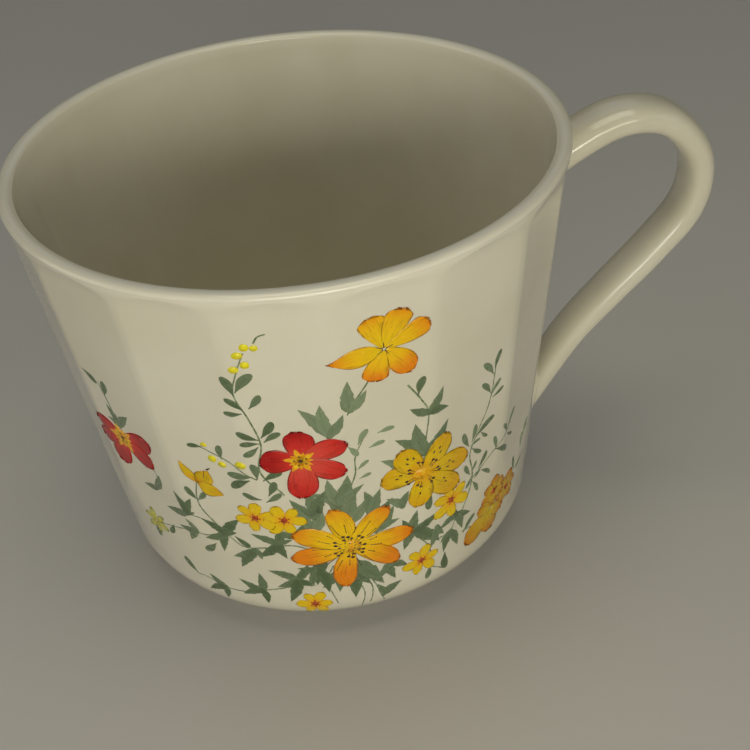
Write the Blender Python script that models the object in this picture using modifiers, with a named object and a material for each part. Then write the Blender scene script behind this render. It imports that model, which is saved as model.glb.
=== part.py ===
"""Porcelain teacup with a panelled wall and a teardrop strap handle.

Metres, +Z up. The cup stands on its foot ring at z = 0, its handle points to +X,
and the floral transfer faces -Y. The origin is below the middle of the whole
object, handle included, so the cup's own axis stands at x = AXIS_X.
"""

from math import cos, pi, radians, sin

import bmesh
import bpy

MM = 0.001

# Driving dimensions
RIM_RADIUS = 42.5 * MM
BASE_RADIUS = 35.0 * MM
FOOT_HEIGHT = 3.0 * MM
BODY_HEIGHT = 68.5 * MM
CORNER_RADIUS = 6.5 * MM
LIP_THICKNESS = 2.2 * MM
FLOOR_THICKNESS = 4.0 * MM
INNER_CORNER = 7.5 * MM
WALL_AT_FLOOR = 3.0 * MM
HANDLE_REACH = 68.0 * MM
GAP = 0.3 * MM

# Panels
PANELS = 18
HALF_PANEL = pi / PANELS
RIDGE_WIDTH_ALLOWANCE = 0.10 * MM
PANEL_TOP = 66.5 * MM
PANEL_BOTTOM = 24.0 * MM
PANEL_FADE = 8.0 * MM
CLEAR = 4.0 * MM
SCREW_STEPS = 72
ARC_STEPS = 6

# Foot ring
FOOT_OUTER = 27.5 * MM
FOOT_INNER = 24.5 * MM
FOOT_EDGE = 0.6 * MM

# Handle: centre line as (distance from the cup's axis, height), and the strap's section
HANDLE_PATH = [
    (36.0, 58.5), (42.2, 62.6), (51.4, 66.7), (59.6, 65.5), (65.0, 58.6),
    (64.4, 50.0), (58.6, 42.4), (51.7, 35.3), (45.1, 28.2), (39.5, 20.1), (36.0, 14.6),
]
HANDLE_SCALE = [1.04, 1.0, 0.98, 0.96, 0.94, 0.92, 0.90, 0.88, 0.86, 0.85, 0.85]
STRAP_WIDTH = 9.0 * MM
STRAP_THICKNESS = 5.2 * MM
STRAP_ROUNDNESS = 3.0
SECTION_POINTS = 20
PATH_RESOLUTION = 5

# Slip joints between the handle and the wall
SLIP_THICKNESS = 0.8 * MM
SLIP_FLARE = 1.12
JOINT_SPLIT_HEIGHT = 42.0 * MM

# Floral transfer: a thin skin on the front of the wall
TRANSFER_THICKNESS = 0.3 * MM
TRANSFER_HALF_ANGLE = 68.0
TRANSFER_LOW = 8.0 * MM
TRANSFER_HIGH = 65.0 * MM

TOP = FOOT_HEIGHT + BODY_HEIGHT
CORNER_TOP = FOOT_HEIGHT + CORNER_RADIUS
AXIS_X = (RIM_RADIUS - HANDLE_REACH) / 2


def clear_scene():
    for obj in list(bpy.data.objects):
        bpy.data.objects.remove(obj)


def new_collection(name, hidden=False):
    collection = bpy.data.collections.new(name)
    collection.hide_render = hidden
    bpy.context.scene.collection.children.link(collection)
    return collection


def material(name, colour, roughness, metallic=0.0):
    made = bpy.data.materials.new(name)
    made.use_nodes = True
    shader = made.node_tree.nodes["Principled BSDF"]
    shader.inputs["Base Color"].default_value = (*colour, 1.0)
    shader.inputs["Roughness"].default_value = roughness
    shader.inputs["Metallic"].default_value = metallic
    return made


def add_object(name, data, collection):
    obj = bpy.data.objects.new(name, data)
    collection.objects.link(obj)
    return obj


def hide_as_cutter(obj):
    obj.hide_render = True
    obj.display_type = "WIRE"
    return obj


def arc(centre, radius, start, end, steps=ARC_STEPS):
    """Points (radius, height) on an arc, angles in degrees from the outward direction."""
    turn = [radians(start + (end - start) * i / steps) for i in range(steps + 1)]
    return [(centre[0] + radius * cos(a), centre[1] + radius * sin(a)) for a in turn]


def wall_radius(height):
    """The outer radius over a ridge, on the straight taper from the base corner to the lip."""
    share = (height - CORNER_TOP) / (TOP - CORNER_TOP)
    return BASE_RADIUS + (RIM_RADIUS - BASE_RADIUS) * share


def turned(name, profile, collection, steps=SCREW_STEPS):
    """A body of revolution on the cup's axis, from (radius, height) points."""
    mesh = bpy.data.meshes.new(name)
    edges = [(i, i + 1) for i in range(len(profile) - 1)]
    mesh.from_pydata([(r, 0.0, z) for r, z in profile], edges, [])
    obj = add_object(name, mesh, collection)
    obj.location.x = AXIS_X
    screw = obj.modifiers.new("Turn", "SCREW")
    screw.steps = screw.render_steps = steps
    screw.use_merge_vertices = True
    screw.merge_threshold = 0.00001
    return obj


def outer_profile(offset):
    """The outside of the cup from the lip's top down to the axis, grown outwards by offset."""
    lip = LIP_THICKNESS / 2
    points = arc((RIM_RADIUS - lip, TOP - lip), lip + offset, 90, 0)
    centre = (BASE_RADIUS - CORNER_RADIUS, CORNER_TOP)
    points += arc(centre, CORNER_RADIUS + offset, 0, -90)
    points.append((0.0, FOOT_HEIGHT - offset))
    return points


def inner_profile():
    """The inside of the cup from the axis out along the floor and up to the lip's top."""
    floor = FOOT_HEIGHT + FLOOR_THICKNESS
    centre = (BASE_RADIUS - WALL_AT_FLOOR - INNER_CORNER, floor + INNER_CORNER)
    lip = LIP_THICKNESS / 2
    points = [(0.0, floor)]
    points += arc(centre, INNER_CORNER, -90, 0)
    points += arc((RIM_RADIUS - lip, TOP - lip), lip, 180, 90)
    return points


def panel_cutter(name, offset, collection):
    """An 18-sided turned block. What it leaves of the cup has flat panels that end in arches."""
    corner = offset + RIDGE_WIDTH_ALLOWANCE
    low = FOOT_HEIGHT + PANEL_BOTTOM
    profile = [
        (0.0, TOP + CLEAR),
        (RIM_RADIUS + corner + 2 * CLEAR, TOP + CLEAR),
        (wall_radius(PANEL_TOP) + corner, PANEL_TOP),
        (wall_radius(low) + corner, low),
        (wall_radius(low - PANEL_FADE) + corner + CLEAR / 4, low - PANEL_FADE),
        (wall_radius(0.0) + corner + CLEAR, -CLEAR),
        (0.0, -CLEAR),
    ]
    cutter = hide_as_cutter(turned(name, profile, collection, PANELS))
    cutter.rotation_euler.z = HALF_PANEL
    return cutter


def boolean(obj, operation, other):
    modifier = obj.modifiers.new(operation.title(), "BOOLEAN")
    modifier.operation = operation
    modifier.solver = "EXACT"
    modifier.object = other


def outer_block(name, offset, collection):
    """The whole cup as one solid block, its panelled outside moved outwards by offset."""
    top = [(0.0, TOP + offset)]
    block = hide_as_cutter(turned(name, top + outer_profile(offset), collection))
    boolean(block, "INTERSECT", panel_cutter(name + "_panels", offset, collection))
    return block


def make_body(parts, cutters):
    body = turned("cup_body", inner_profile() + outer_profile(0.0)[1:], parts)
    boolean(body, "INTERSECT", panel_cutter("body_panels", 0.0, cutters))
    return body


def make_foot_ring(parts):
    top = FOOT_HEIGHT - GAP
    outer = arc((FOOT_OUTER - FOOT_EDGE, FOOT_EDGE), FOOT_EDGE, 0, -90, 3)
    inner = arc((FOOT_INNER + FOOT_EDGE, FOOT_EDGE), FOOT_EDGE, -90, -180, 3)
    profile = [(FOOT_INNER, top), (FOOT_OUTER, top), *outer, *inner, (FOOT_INNER, top)]
    return turned("foot_ring", profile, parts)


def strap_section(cutters):
    """The strap's section: a squared oval, thickness along X and width along Y."""
    data = bpy.data.curves.new("strap_section", "CURVE")
    spline = data.splines.new("POLY")
    spline.points.add(SECTION_POINTS - 1)
    spline.use_cyclic_u = True
    for i, point in enumerate(spline.points):
        turn = 2 * pi * i / SECTION_POINTS
        across = abs(cos(turn)) ** (2 / STRAP_ROUNDNESS) * STRAP_THICKNESS / 2
        along = abs(sin(turn)) ** (2 / STRAP_ROUNDNESS) * STRAP_WIDTH / 2
        x = across if cos(turn) > 0 else -across
        y = along if sin(turn) > 0 else -along
        point.co = (x, y, 0.0, 1.0)
    return hide_as_cutter(add_object("strap_section", data, cutters))


def strap(name, section, flare, collection):
    """The strap swept along the handle's centre line, as a mesh that still reaches into the wall."""
    data = bpy.data.curves.new(name, "CURVE")
    data.dimensions = "2D"
    data.fill_mode = "NONE"
    data.resolution_u = PATH_RESOLUTION
    data.bevel_mode = "OBJECT"
    data.bevel_object = section
    data.use_fill_caps = True
    spline = data.splines.new("BEZIER")
    spline.bezier_points.add(len(HANDLE_PATH) - 1)
    for point, place, scale in zip(spline.bezier_points, HANDLE_PATH, HANDLE_SCALE):
        point.co = (AXIS_X + place[0] * MM, place[1] * MM, 0.0)
        point.handle_left_type = point.handle_right_type = "AUTO"
        point.radius = scale * flare
    guide = add_object(name + "_guide", data, collection)
    guide.rotation_euler.x = pi / 2
    bpy.context.view_layer.update()
    graph = bpy.context.evaluated_depsgraph_get()
    mesh = bpy.data.meshes.new_from_object(guide.evaluated_get(graph))
    work = bmesh.new()
    work.from_mesh(mesh)
    bmesh.ops.remove_doubles(work, verts=work.verts, dist=0.00001)
    bmesh.ops.recalc_face_normals(work, faces=work.faces)
    work.to_mesh(mesh)
    work.free()
    obj = add_object(name, mesh, collection)
    obj.matrix_world = guide.matrix_world
    bpy.data.objects.remove(guide)
    return obj


def make_handle(parts, cutters, section):
    handle = strap("handle", section, 1.0, parts)
    boolean(handle, "DIFFERENCE", outer_block("handle_stop", SLIP_THICKNESS + 2 * GAP, cutters))
    return handle


def box(name, low, high, collection):
    mesh = bpy.data.meshes.new(name)
    work = bmesh.new()
    bmesh.ops.create_cube(work, size=1.0)
    size = [b - a for a, b in zip(low, high)]
    middle = [(a + b) / 2 for a, b in zip(low, high)]
    bmesh.ops.scale(work, vec=size, verts=work.verts)
    bmesh.ops.translate(work, vec=middle, verts=work.verts)
    work.to_mesh(mesh)
    work.free()
    return hide_as_cutter(add_object(name, mesh, collection))


def make_slip_joints(parts, cutters, section):
    """The two pads of slip that hold the handle's ends on the wall."""
    near = outer_block("slip_near", GAP, cutters)
    far = outer_block("slip_far", GAP + SLIP_THICKNESS, cutters)
    heights = (("upper_slip_joint", JOINT_SPLIT_HEIGHT, TOP), ("lower_slip_joint", 0.0, JOINT_SPLIT_HEIGHT))
    for name, low, high in heights:
        joint = strap(name, section, SLIP_FLARE, parts)
        corners = (AXIS_X, -RIM_RADIUS, low), (AXIS_X + HANDLE_REACH, RIM_RADIUS, high)
        boolean(joint, "INTERSECT", far)
        boolean(joint, "DIFFERENCE", near)
        boolean(joint, "INTERSECT", box(name + "_side", *corners, cutters))


def transfer_outline(cutters):
    """A wedge-shaped block from the cup's axis outwards, as wide and high as the printed spray."""
    steps = 12
    reach = RIM_RADIUS + 2 * CLEAR
    mesh = bpy.data.meshes.new("transfer_outline")
    work = bmesh.new()
    angles = [radians(-90 + TRANSFER_HALF_ANGLE * (2 * i / steps - 1)) for i in range(steps + 1)]
    rim = [work.verts.new((reach * cos(a), reach * sin(a), TRANSFER_LOW)) for a in angles]
    base = work.faces.new([work.verts.new((0.0, 0.0, TRANSFER_LOW)), *rim])
    raised = bmesh.ops.extrude_face_region(work, geom=[base])["geom"]
    lifted = [item for item in raised if isinstance(item, bmesh.types.BMVert)]
    bmesh.ops.translate(work, vec=(0, 0, TRANSFER_HIGH - TRANSFER_LOW), verts=lifted)
    bmesh.ops.recalc_face_normals(work, faces=work.faces)
    work.to_mesh(mesh)
    work.free()
    obj = hide_as_cutter(add_object("transfer_outline", mesh, cutters))
    obj.location.x = AXIS_X
    return obj


def make_transfer(parts, cutters):
    """The printed enamel, as a thin skin that follows the panels of the front."""
    profile = [(0.0, TOP), *outer_profile(GAP + TRANSFER_THICKNESS)]
    transfer = turned("floral_transfer", profile, parts)
    boolean(transfer, "INTERSECT", panel_cutter("transfer_panels", GAP + TRANSFER_THICKNESS, cutters))
    boolean(transfer, "DIFFERENCE", outer_block("transfer_backing", GAP, cutters))
    boolean(transfer, "INTERSECT", transfer_outline(cutters))
    return transfer


def finish(parts):
    glaze = material("white_glaze", (0.80, 0.77, 0.66), 0.12)
    bare = material("bare_porcelain", (0.74, 0.70, 0.62), 0.65)
    enamel = material("overglaze_enamel", (0.85, 0.55, 0.10), 0.30)
    finishes = {"foot_ring": bare, "floral_transfer": enamel}
    for obj in parts.objects:
        obj.data.materials.clear()
        obj.data.materials.append(finishes.get(obj.name, glaze))
        obj.data.shade_smooth()


def main():
    clear_scene()
    parts = new_collection("teacup")
    cutters = new_collection("teacup_cutters", hidden=True)
    section = strap_section(cutters)
    make_body(parts, cutters)
    make_foot_ring(parts)
    make_handle(parts, cutters, section)
    make_slip_joints(parts, cutters, section)
    make_transfer(parts, cutters)
    finish(parts)


main()
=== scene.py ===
"""The finished teacup: white glazed porcelain with soft panels and a printed spray of flowers."""

from math import atan2, cos, hypot, pi, radians, sin

import bmesh
import bpy
import numpy as np
from mathutils import Matrix, Vector


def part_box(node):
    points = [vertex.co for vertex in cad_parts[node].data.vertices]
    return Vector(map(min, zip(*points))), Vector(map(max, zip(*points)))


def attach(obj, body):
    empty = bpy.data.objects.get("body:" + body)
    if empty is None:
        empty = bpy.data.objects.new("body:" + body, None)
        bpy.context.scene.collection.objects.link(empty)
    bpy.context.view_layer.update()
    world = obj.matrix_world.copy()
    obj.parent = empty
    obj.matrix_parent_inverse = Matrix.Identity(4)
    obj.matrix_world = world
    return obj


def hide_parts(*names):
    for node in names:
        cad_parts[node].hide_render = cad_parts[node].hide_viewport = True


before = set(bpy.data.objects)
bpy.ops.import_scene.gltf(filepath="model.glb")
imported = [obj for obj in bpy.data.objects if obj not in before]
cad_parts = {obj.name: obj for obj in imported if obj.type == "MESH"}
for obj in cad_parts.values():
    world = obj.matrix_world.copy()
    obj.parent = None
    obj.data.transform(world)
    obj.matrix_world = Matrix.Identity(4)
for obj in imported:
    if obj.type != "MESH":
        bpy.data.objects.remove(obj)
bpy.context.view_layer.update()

MM = 0.001

# From the frame: the cup's axis, its heights and its radii
BODY_LOW, BODY_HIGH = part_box("cup_body")
FOOT_LOW, FOOT_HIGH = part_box("foot_ring")
AXIS = Vector(((BODY_LOW.x + BODY_HIGH.x) / 2, 0.0, 0.0))
RIM = (BODY_HIGH.x - BODY_LOW.x) / 2
TOP = BODY_HIGH.z
BASE = BODY_LOW.z
FOOT_OUTER = (FOOT_HIGH.x - FOOT_LOW.x) / 2

# The wall's section
BASE_RADIUS = 35.5 * MM
CORNER = 6.5 * MM
LIP = 2.3 * MM
LIP_OUTSIDE = 1.1 * MM
LIP_DROP = 0.75 * MM
LIP_SQUARENESS = 2.4
WALL_AT_FLOOR = 3.0 * MM
FLOOR = BASE + 4.0 * MM
INNER_CORNER = 9.0 * MM
FLOOR_DISH = 0.25 * MM
BASE_DISH = 0.5 * MM
FLOOR_HUB = 0.4 * MM

# The panels
PANELS = 18
HALF_PANEL = pi / PANELS
RIDGE_STAND = 0.10 * MM
RIDGE_SOFTNESS = 0.025 * MM
ARCH_START = 67.0 * MM
ARCH_HEIGHT = 3.7 * MM
ARCH_POWER = 3.0
FADE_START = 30.0 * MM
FADE_HEIGHT = 13.0 * MM
PANEL_DEPTH = RIM * (1 - cos(HALF_PANEL)) + RIDGE_STAND
INNER_PANEL = 0.16 * MM
INNER_FADE_START = 0.035
INNER_FADE_HEIGHT = 0.025
INNER_FADE_TOP = 0.003
INNER_FADE_TOP_HEIGHT = 0.004

# Ridges that stand a little off their even places, in degrees
EVEN_RIDGES = np.arange(-190, 191, 20) * pi / 180
RIDGE_DRIFT = {-130: 1.2, -110: 0.5, -90: 0.2, -50: 2.6, -30: 1.0}
RIDGES = EVEN_RIDGES + np.radians([RIDGE_DRIFT.get(int(a), 0.0) for a in np.arange(-190, 191, 20)])

# Where the skin is cut, as degrees from a ridge: finest beside the ridge
CUTS = [0, 0.25, 0.5, 0.75, 1.0, 1.35, 1.9, 3.0, 4.6, 6.4, 8.2]

# One degree of the wall is this long on the flat artwork
ART_RADIUS = 38.0 * MM


# ---------------------------------------------------------------- wall shape

def base_round(height):
    """The outer radius without panels: a straight taper above a round corner."""
    share = np.clip((height - BASE - CORNER) / (TOP - BASE - CORNER), 0, None)
    taper = BASE_RADIUS + (RIM - BASE_RADIUS) * share
    drop = np.clip(1 - (height - BASE) / CORNER, 0, 1)
    corner = BASE_RADIUS - CORNER + CORNER * np.sqrt(1 - drop * drop)
    return np.where(height < BASE + CORNER, corner, taper)


def panel_share(angle):
    """How far a point is round its panel, as an angle from the panel's middle."""
    level = (angle + pi) % (2 * pi) - pi
    turn = np.interp(level, RIDGES, EVEN_RIDGES) / (2 * HALF_PANEL)
    return (turn - np.floor(turn + 0.5)) * 2 * HALF_PANEL


def outer_radius(angle, height):
    """The outer radius with panels: flats that end in arches above and fade away below."""
    plain = base_round(height)
    flat = (plain + RIDGE_STAND) * cos(HALF_PANEL) / np.cos(panel_share(angle))
    above = np.clip((height - ARCH_START) / ARCH_HEIGHT, 0, 3)
    below = np.clip((FADE_START - height) / FADE_HEIGHT, 0, 3)
    flat = flat + PANEL_DEPTH * (above ** ARCH_POWER + below ** 2)
    step = (flat - plain) / RIDGE_SOFTNESS
    return plain - RIDGE_SOFTNESS * np.logaddexp(0, -step)


def wall_point(angle, height, lift):
    """Points on the wall in the frame, moved out along the wall's normal by lift."""
    def place(a, z):
        r = outer_radius(a, z)
        return np.stack([AXIS.x + r * np.cos(a), r * np.sin(a), z], -1)
    step = 0.05 * MM
    across = place(angle + step / RIM, height) - place(angle - step / RIM, height)
    up = place(angle, height + step) - place(angle, height - step)
    normal = np.cross(across, up)
    normal /= np.linalg.norm(normal, axis=-1, keepdims=True)
    return place(angle, height) + normal * np.asarray(lift)[..., None]


# ---------------------------------------------------------------- mesh tools

def mesh_object(name, points, faces, attributes=None):
    mesh = bpy.data.meshes.new(name)
    mesh.from_pydata([tuple(p) for p in points], [], faces)
    for key, values in (attributes or {}).items():
        layer = mesh.attributes.new(key, "FLOAT", "POINT")
        layer.data.foreach_set("value", np.asarray(values, np.float32))
    mesh.validate()
    mesh.shade_smooth()
    obj = bpy.data.objects.new(name, mesh)
    bpy.context.scene.collection.objects.link(obj)
    return obj


def grid_faces(rows, columns, wrap=False):
    """Quads over a grid of points laid row by row."""
    across = columns if wrap else columns - 1
    faces = []
    for i in range(rows - 1):
        for j in range(across):
            k = (j + 1) % columns
            faces.append((i * columns + j, i * columns + k,
                          (i + 1) * columns + k, (i + 1) * columns + j))
    return faces


def cut_angles():
    """Angles round the whole cup, close together at the ridges."""
    offsets = np.radians(sorted([-cut for cut in CUTS[1:]] + CUTS + [10.0]))
    even = np.concatenate([ridge + offsets for ridge in EVEN_RIDGES[1:-1]])
    return np.interp(even, EVEN_RIDGES, RIDGES)


def turned(name, rows, closed=False):
    """A skin round the cup's axis from rows of (radius at each angle, height)."""
    angle = cut_angles()
    count = len(angle)
    points = []
    for radius, height in rows:
        r = np.broadcast_to(radius, count)
        z = np.broadcast_to(height, count)
        points.append(np.stack([AXIS.x + r * np.cos(angle), r * np.sin(angle), z], -1))
    faces = grid_faces(len(rows), count, wrap=True)
    last = (len(rows) - 1) * count
    poles = len(rows) * count
    if not closed:
        points.append([(AXIS.x, 0.0, np.mean(rows[0][1])), (AXIS.x, 0.0, np.mean(rows[-1][1]))])
    for j in range(count):
        k = (j + 1) % count
        if closed:
            faces.append((last + j, last + k, k, j))
        else:
            faces.append((poles, k, j))
            faces.append((poles + 1, last + j, last + k))
    return mesh_object(name, np.concatenate(points), [face[::-1] for face in faces])


# ---------------------------------------------------------------- materials

def colour(red, green, blue):
    """A colour given as it looks on a screen, 0 to 255, as the shader's linear value."""
    def linear(c):
        c /= 255
        return c / 12.92 if c <= 0.04045 else ((c + 0.055) / 1.055) ** 2.4
    return (linear(red), linear(green), linear(blue), 1.0)


def put(tree, socket, value):
    if isinstance(value, bpy.types.NodeSocket):
        tree.links.new(value, socket)
    else:
        socket.default_value = value


def node(tree, kind, inputs=None, **settings):
    made = tree.nodes.new("ShaderNode" + kind)
    for key, value in settings.items():
        setattr(made, key, value)
    for key, value in (inputs or {}).items():
        put(tree, made.inputs[key], value)
    return made


def mixed(tree, share, first, second, blend="MIX"):
    made = node(tree, "Mix", data_type="RGBA", blend_type=blend)
    put(tree, made.inputs[0], share)
    put(tree, made.inputs[6], first)
    put(tree, made.inputs[7], second)
    return made.outputs[2]


def maths(tree, operation, first, second=0.0, clamp=False):
    made = node(tree, "Math", {0: first, 1: second}, operation=operation, use_clamp=clamp)
    return made.outputs[0]


def ranged(tree, value, low, high, out_low=0.0, out_high=1.0):
    sockets = {"Value": value, "From Min": low, "From Max": high, "To Min": out_low, "To Max": out_high}
    return node(tree, "MapRange", sockets, interpolation_type="SMOOTHSTEP").outputs["Result"]


def noise(tree, scale, detail=3.0, vector=None):
    made = node(tree, "TexNoise", {"Scale": scale, "Detail": detail, "Roughness": 0.5})
    if vector is None:
        vector = node(tree, "TexCoord").outputs["Object"]
    put(tree, made.inputs["Vector"], vector)
    return made.outputs["Fac"]


def attribute(tree, name):
    return node(tree, "Attribute", attribute_name=name).outputs["Fac"]


def ramp(tree, value, stops):
    made = node(tree, "ValToRGB", {"Fac": value})
    elements = made.color_ramp.elements
    while len(elements) < len(stops):
        elements.new(0.5)
    for element, (place, tint) in zip(elements, stops):
        element.position = place
        element.color = tint
    return made.outputs["Color"]


def bump(tree, height, distance, strength, before=None):
    made = node(tree, "Bump", {"Height": height, "Distance": distance, "Strength": strength})
    if before is not None:
        put(tree, made.inputs["Normal"], before)
    return made.outputs["Normal"]


def new_material(name):
    made = bpy.data.materials.new(name)
    made.use_nodes = True
    return made, made.node_tree, made.node_tree.nodes["Principled BSDF"]


# Heights in metres where the glaze pools near the foot, and where the lip is painted paler: painted light on
# its top
POOL_LOW = 0.003
POOL_TOP = 0.013
LIP_PAINTED_LIGHT_LOW = 0.0690
LIP_PAINTED_LIGHT_HIGH = 0.0712


def glaze_material():
    """Clear glaze over warm white porcelain, with a faint ripple, pooled tone, rare specks and painted light
    on the lip.
    """
    made, tree, shader = new_material("white_glaze")
    place = node(tree, "TexCoord").outputs["Object"]
    cloudy = ranged(tree, noise(tree, 38, 4, place), 0.35, 0.68)
    tone = mixed(tree, cloudy, colour(226, 221, 203), colour(219, 213, 192))
    height = node(tree, "SeparateXYZ", {"Vector": place}).outputs["Z"]
    pooled = ranged(tree, height, POOL_TOP, POOL_LOW, 0.0, 0.6)
    tone = mixed(tree, pooled, tone, colour(203, 198, 178))
    # Paler towards the top of the lip: painted light, as if the lip's top caught light from above
    painted_lip_light = ranged(tree, height, LIP_PAINTED_LIGHT_LOW, LIP_PAINTED_LIGHT_HIGH, 0.0, 0.5)
    tone = mixed(tree, painted_lip_light, tone, colour(246, 241, 226))
    speck = node(tree, "TexVoronoi", {"Vector": place, "Scale": 170.0})
    pick = node(tree, "SeparateColor", {0: speck.outputs["Color"]}).outputs[0]
    rare = maths(tree, "GREATER_THAN", pick, 0.94)
    near = ranged(tree, speck.outputs["Distance"], 0.055, 0.03)
    tone = mixed(tree, maths(tree, "MULTIPLY", rare, near), tone, colour(96, 84, 66))
    put(tree, shader.inputs["Base Color"], tone)
    put(tree, shader.inputs["Roughness"], ranged(tree, noise(tree, 90, 1, place), 0.3, 0.75, 0.13, 0.18))
    ripple = bump(tree, noise(tree, 95, 2, place), 0.0006, 0.09)
    ripple = bump(tree, noise(tree, 260, 1, place), 0.00004, 0.10, ripple)
    put(tree, shader.inputs["Normal"], ripple)
    shader.inputs["IOR"].default_value = 1.52
    shader.inputs["Coat Weight"].default_value = 0.35
    shader.inputs["Coat Roughness"].default_value = 0.06
    shader.inputs["Subsurface Weight"].default_value = 0.06
    shader.inputs["Subsurface Radius"].default_value = (1.0, 0.8, 0.5)
    shader.inputs["Subsurface Scale"].default_value = 0.0012
    return made


def bare_material():
    """Unglazed porcelain, sanded smooth and a little stained where it stands."""
    made, tree, shader = new_material("bare_porcelain")
    grain = noise(tree, 1500, 5)
    stain = ranged(tree, noise(tree, 120, 4), 0.4, 0.75)
    tone = mixed(tree, stain, colour(222, 214, 196), colour(190, 178, 156))
    tone = mixed(tree, ranged(tree, grain, 0.55, 0.8, 0.0, 0.25), tone, colour(150, 138, 118))
    put(tree, shader.inputs["Base Color"], tone)
    put(tree, shader.inputs["Roughness"], ranged(tree, grain, 0.2, 0.8, 0.55, 0.8))
    put(tree, shader.inputs["Normal"], bump(tree, grain, 0.00005, 0.4))
    return made


def petal_material(name, heart, middle, tip, edge, edge_share=0.75):
    """Printed enamel: a tone that runs from the petal's heart to its tip, fine streaks and a drawn edge."""
    made, tree, shader = new_material(name)
    along, across = attribute(tree, "along"), attribute(tree, "across")
    tint = attribute(tree, "tint")
    place = node(tree, "TexCoord").outputs["Object"]
    cloud = noise(tree, 700, 3, place)
    drift = maths(tree, "MULTIPLY_ADD", cloud, 0.35)
    drift.node.inputs[2].default_value = -0.17
    level = maths(tree, "ADD", maths(tree, "ADD", along, drift), tint, clamp=True)
    tone = ramp(tree, level, [(0.0, heart), (0.55, middle), (1.0, tip)])
    lanes = node(tree, "CombineXYZ", {"X": maths(tree, "MULTIPLY", across, 5.0), "Y": along, "Z": tint})
    streak = ranged(tree, noise(tree, 2.6, 3, lanes.outputs[0]), 0.52, 0.72, 0.0, 0.45)
    tone = mixed(tree, streak, tone, edge, "MULTIPLY")
    side = maths(tree, "ABSOLUTE", across)
    rim = maths(tree, "MAXIMUM", ranged(tree, side, 0.84, 0.98), ranged(tree, along, 0.972, 0.998))
    broken = ranged(tree, noise(tree, 900, 2, place), 0.38, 0.58, 0.15, edge_share)
    tone = mixed(tree, maths(tree, "MULTIPLY", rim, broken), tone, edge)
    put(tree, shader.inputs["Base Color"], tone)
    put(tree, shader.inputs["Roughness"], ranged(tree, cloud, 0.3, 0.7, 0.16, 0.28))
    put(tree, shader.inputs["Normal"], bump(tree, noise(tree, 2500, 2, place), 0.00002, 0.2))
    shader.inputs["Specular IOR Level"].default_value = 0.3
    shader.inputs["Coat Weight"].default_value = 0.1
    shader.inputs["Coat Roughness"].default_value = 0.08
    return made


def leaf_material(name, dark, light, faded):
    """Green enamel: dark along the middle, lighter and thinner towards the edge and the tip."""
    made, tree, shader = new_material(name)
    along, across = attribute(tree, "along"), attribute(tree, "across")
    tint = attribute(tree, "tint")
    place = node(tree, "TexCoord").outputs["Object"]
    cloud = noise(tree, 620, 4, place)
    side = maths(tree, "ABSOLUTE", across)
    level = maths(tree, "MULTIPLY_ADD", side, 0.45, clamp=True)
    put(tree, level.node.inputs[2], maths(tree, "MULTIPLY_ADD", along, 0.25))
    tone = mixed(tree, level, dark, light)
    tone = mixed(tree, ranged(tree, cloud, 0.42, 0.72, 0.0, 0.6), tone, light)
    tone = mixed(tree, tint, tone, faded)
    vein = ranged(tree, side, 0.10, 0.02, 0.0, 0.45)
    tone = mixed(tree, vein, tone, light)
    put(tree, shader.inputs["Base Color"], tone)
    put(tree, shader.inputs["Roughness"], ranged(tree, cloud, 0.3, 0.7, 0.18, 0.32))
    put(tree, shader.inputs["Normal"], bump(tree, noise(tree, 2500, 2, place), 0.00002, 0.2))
    shader.inputs["Coat Weight"].default_value = 0.25
    shader.inputs["Coat Roughness"].default_value = 0.1
    return made


def ink_material(name, dark, light):
    """Thin drawn lines and dots, uneven in strength."""
    made, tree, shader = new_material(name)
    patch = ranged(tree, noise(tree, 1400, 3), 0.35, 0.7)
    put(tree, shader.inputs["Base Color"], mixed(tree, patch, dark, light))
    put(tree, shader.inputs["Roughness"], ranged(tree, patch, 0.0, 1.0, 0.2, 0.35))
    return made


MATERIALS = {}


def make_materials():
    MATERIALS["glaze"] = glaze_material()
    MATERIALS["bare"] = bare_material()
    MATERIALS["orange"] = petal_material(
        "orange_enamel", colour(246, 206, 8), colour(246, 194, 6), colour(238, 138, 2), colour(140, 66, 12))
    MATERIALS["yellow"] = petal_material(
        "yellow_enamel", colour(230, 156, 4), colour(228, 192, 6), colour(224, 172, 4), colour(104, 62, 12))
    MATERIALS["red"] = petal_material(
        "red_enamel", colour(226, 78, 62), colour(212, 44, 34), colour(176, 14, 12), colour(100, 8, 10))
    # A darker, duller copy of the orange enamel for the flowers round the right side: painted shade
    MATERIALS["side"] = petal_material(
        "shaded_side_flower_enamel", colour(218, 190, 12), colour(212, 164, 6), colour(204, 128, 4),
        colour(110, 60, 12))
    MATERIALS["small"] = petal_material(
        "small_flower_enamel", colour(240, 164, 8), colour(236, 200, 10), colour(232, 198, 16),
        colour(186, 92, 20), 0.6)
    MATERIALS["faint"] = petal_material(
        "faint_flower_enamel", colour(186, 178, 70), colour(206, 200, 96), colour(176, 176, 100),
        colour(110, 120, 70), 0.6)
    MATERIALS["leaf"] = leaf_material(
        "leaf_enamel", colour(42, 58, 32), colour(90, 110, 74), colour(146, 162, 130))
    MATERIALS["stem"] = ink_material("stem_enamel", colour(100, 118, 82), colour(146, 160, 126))
    MATERIALS["ink"] = ink_material("dark_ink", colour(52, 30, 16), colour(98, 60, 26))
    MATERIALS["heart"] = ink_material("flower_heart", colour(160, 40, 12), colour(206, 92, 24))
    MATERIALS["pollen"] = ink_material("pollen_enamel", colour(240, 160, 6), colour(246, 200, 12))
    MATERIALS["bud"] = ink_material("bud_enamel", colour(246, 232, 20), colour(238, 226, 50))


def finish_piece(obj, material_key, slot, *nodes):
    obj.data.materials.append(MATERIALS[material_key])
    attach(obj, "root")
    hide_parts(*nodes)
    return obj


# ---------------------------------------------------------------- cup body

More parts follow.
